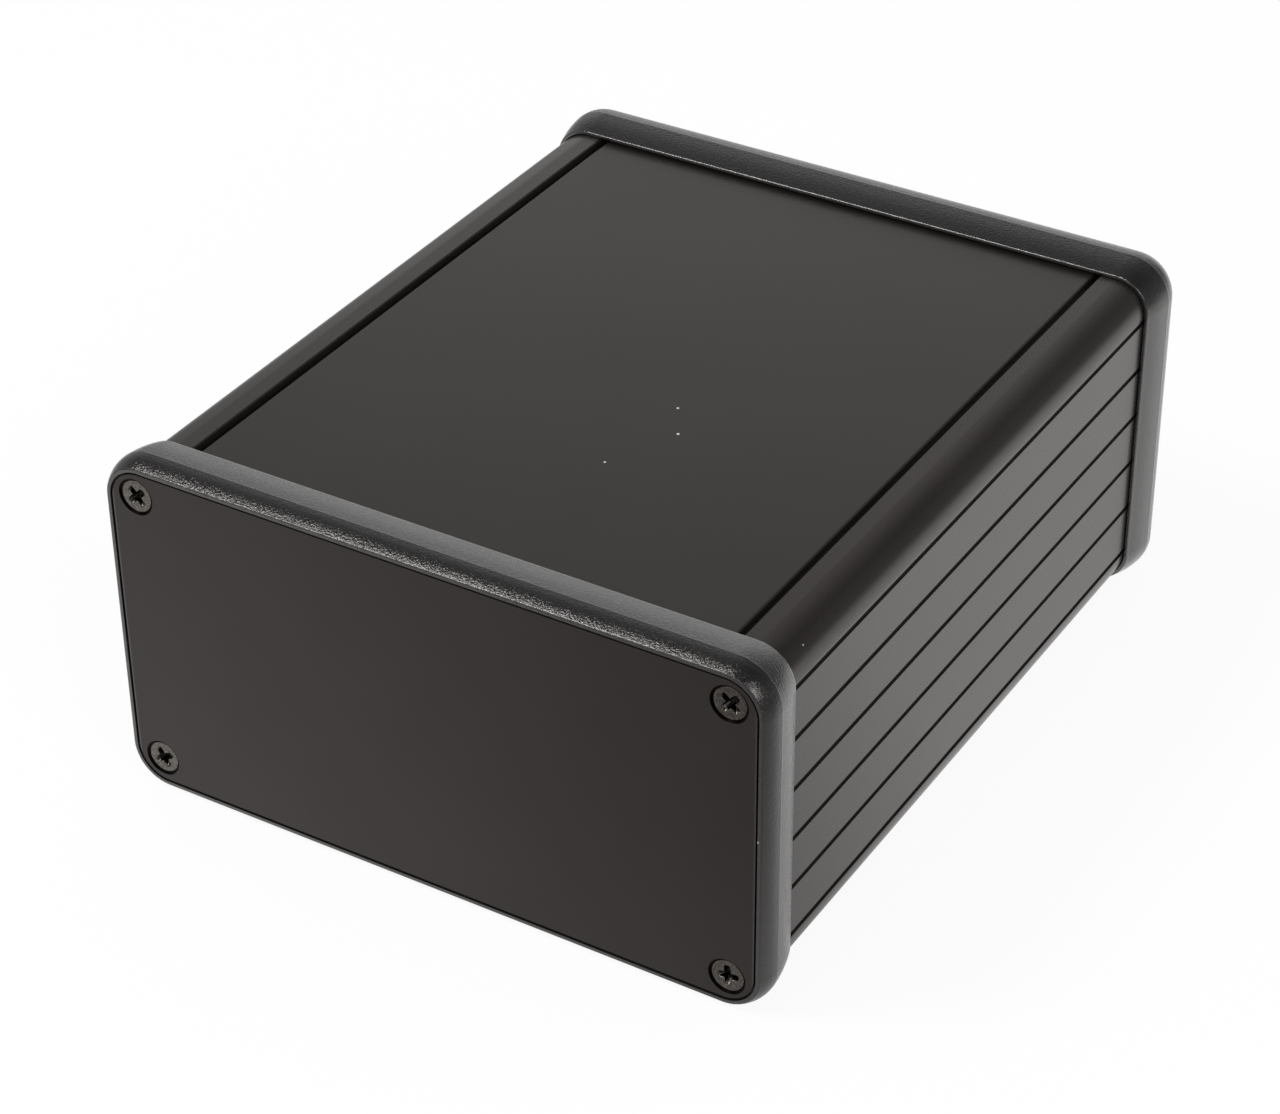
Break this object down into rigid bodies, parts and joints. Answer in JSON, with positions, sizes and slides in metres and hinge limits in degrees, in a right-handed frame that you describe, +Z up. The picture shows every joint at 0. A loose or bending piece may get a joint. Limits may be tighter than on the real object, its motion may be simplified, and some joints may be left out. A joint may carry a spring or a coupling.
{
  "type": "extruded aluminium enclosure",
  "caption": "Long rectangular electronics case: a grooved aluminium extrusion with a slide-in cover, and a moulded bezel and a screwed flat panel on each end.",
  "frame": {"origin": "middle of the surface that the bezels' lower ridges stand on", "axes": "+X to the right seen from the front panel, +Y along the extrusion to the rear, +Z up to the cover"},
  "size_m": [0.1064, 0.126, 0.0564],
  "materials": {
    "anodised_extrusion": "satin black anodised",
    "anodised_panel": "satin black anodised, flat",
    "bezel_plastic": "black moulded plastic with a fine grain",
    "screw_steel": "dark bronzed steel"
  },
  "bodies": {
    "root": {"body_extrusion": "anodised_extrusion", "cover_plate": "anodised_extrusion", "front_bezel": "bezel_plastic", "rear_bezel": "bezel_plastic", "front_panel": "anodised_panel", "rear_panel": "anodised_panel", "front_screw_upper_left": "screw_steel", "front_screw_upper_right": "screw_steel", "front_screw_lower_left": "screw_steel", "front_screw_lower_right": "screw_steel", "rear_screw_upper_left": "screw_steel", "rear_screw_upper_right": "screw_steel", "rear_screw_lower_left": "screw_steel", "rear_screw_lower_right": "screw_steel"}
  },
  "joints": []
}
